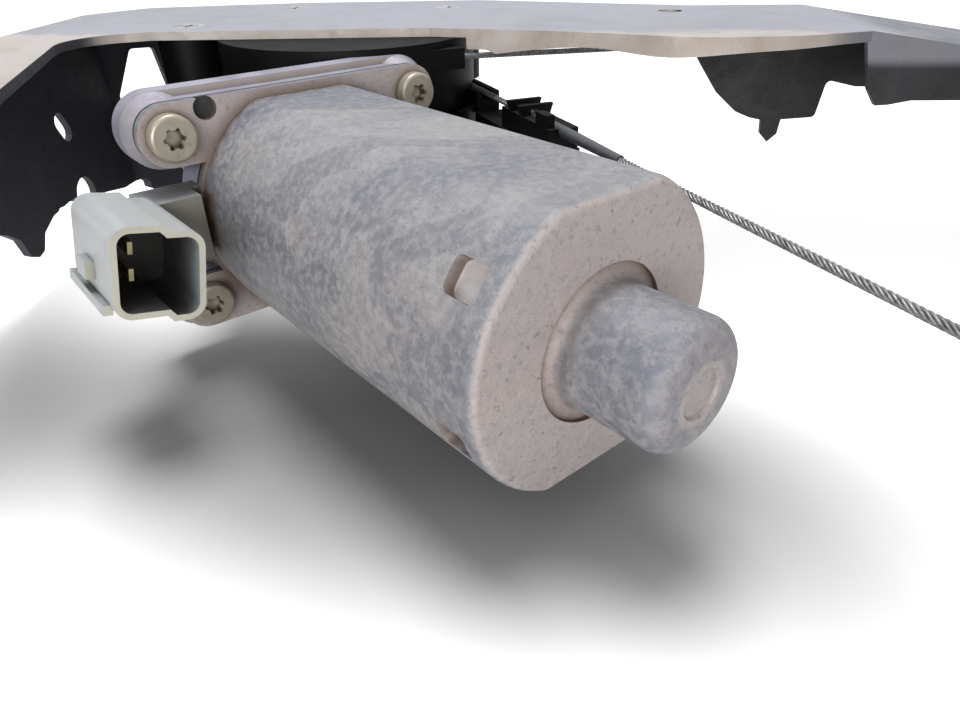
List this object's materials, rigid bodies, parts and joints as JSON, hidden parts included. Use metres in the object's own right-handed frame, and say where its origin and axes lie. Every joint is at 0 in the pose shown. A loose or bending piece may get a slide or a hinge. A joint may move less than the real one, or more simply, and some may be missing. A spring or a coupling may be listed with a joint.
{
  "type": "window regulator",
  "caption": "Electric car-door window regulator: worm-geared motor and cable drum under a pressed bracket, with a guide rail, pulleys, crossed cables and a glass slider.",
  "frame": {"origin": "on the drum axis, on the bracket's upper face, which bolts against the door panel", "axes": "+Z along the drum axis, away from the motor; +Y along the guide rail, towards the top of the window"},
  "size_m": [0.3463, 0.526, 0.061],
  "materials": {
    "galvanised_steel": "satin",
    "zinc_rivet": "satin",
    "drawn_steel": "dull zinc plating",
    "cast_alloy": "as cast",
    "yellow_zinc": "satin",
    "connector_plastic": "satin",
    "black_plastic": "satin",
    "sleeve_plastic": "satin",
    "cable_steel": "stranded",
    "machined_steel": "machined",
    "bronze": "sintered",
    "copper": "enamelled",
    "laminations": "dull",
    "ferrite": "matte",
    "carbon": "matte",
    "contact_brass": "tinned",
    "natural_plastic": "satin",
    "grey_plastic": "satin",
    "rubber": "matte"
  },
  "bodies": {
    "frame": {"bracket": "galvanised_steel", "guide_rail": "galvanised_steel", "rail_rivets": "zinc_rivet", "fixing_screws": "zinc_rivet", "near_pulley_pin": "zinc_rivet", "far_pulley_pin": "zinc_rivet", "motor_can": "drawn_steel", "can_gasket": "rubber", "gear_case": "cast_alloy", "gear_cover": "black_plastic", "can_screws": "yellow_zinc", "magnets": "ferrite", "connector_housing": "connector_plastic", "brushes": "carbon", "terminals": "contact_brass", "worm_bush": "bronze", "worm_tail_bush": "bronze", "rear_bearing": "bronze", "thrust_pad": "natural_plastic", "drum_axle": "machined_steel", "axle_clip": "machined_steel", "drum_case": "black_plastic", "cable_guide": "black_plastic", "cable_sleeve": "sleeve_plastic", "near_cable": "cable_steel", "far_cable": "cable_steel", "bump_stops": "rubber"},
    "armature": {"armature_shaft": "machined_steel", "armature_core": "laminations", "armature_windings": "copper", "commutator": "copper"},
    "drive": {"worm_wheel": "natural_plastic", "wheel_damper": "rubber", "drive_hub": "machined_steel", "cable_drum": "natural_plastic", "cable_turns": "cable_steel"},
    "near_pulley": {"near_pulley": "natural_plastic"},
    "far_pulley": {"far_pulley": "natural_plastic"},
    "slider": {"slider_body": "grey_plastic", "slide_pads": "natural_plastic", "cable_end_sleeves": "machined_steel", "glass_carrier": "galvanised_steel", "carrier_screws": "zinc_rivet"}
  },
  "joints": [
    {"name": "armature_spin", "type": "hinge", "parent": "frame", "child": "armature", "pos_m": [-0.02546, -0.02546, -0.03], "axis": [0.7071, -0.7071, 0], "range_deg": [-20000, 20000]},
    {"name": "drive_spin", "type": "hinge", "parent": "frame", "child": "drive", "pos_m": [0, 0, -0.02], "axis": [0, 0, 1], "range_deg": [-330, 330]},
    {"name": "slider_travel", "type": "slide", "parent": "frame", "child": "slider", "axis": [0, 1, 0], "range_m": [-0.1702, 0.1702]},
    {"name": "near_pulley_spin", "type": "hinge", "parent": "frame", "child": "near_pulley", "pos_m": [0.232, -0.3656, -0.0161], "axis": [0, 0, 1], "range_deg": [-815, 815]},
    {"name": "far_pulley_spin", "type": "hinge", "parent": "frame", "child": "far_pulley", "pos_m": [0.232, 0.092, -0.0161], "axis": [0, 0, 1], "range_deg": [-815, 815]}
  ],
  "couplings": [
    {"joint": "drive_spin", "follows": "armature_spin", "ratio": -0.016393},
    {"joint": "slider_travel", "follows": "armature_spin", "m_per_rad": 0.00048689},
    {"joint": "near_pulley_spin", "follows": "armature_spin", "ratio": 0.040574},
    {"joint": "far_pulley_spin", "follows": "armature_spin", "ratio": 0.040574}
  ]
}
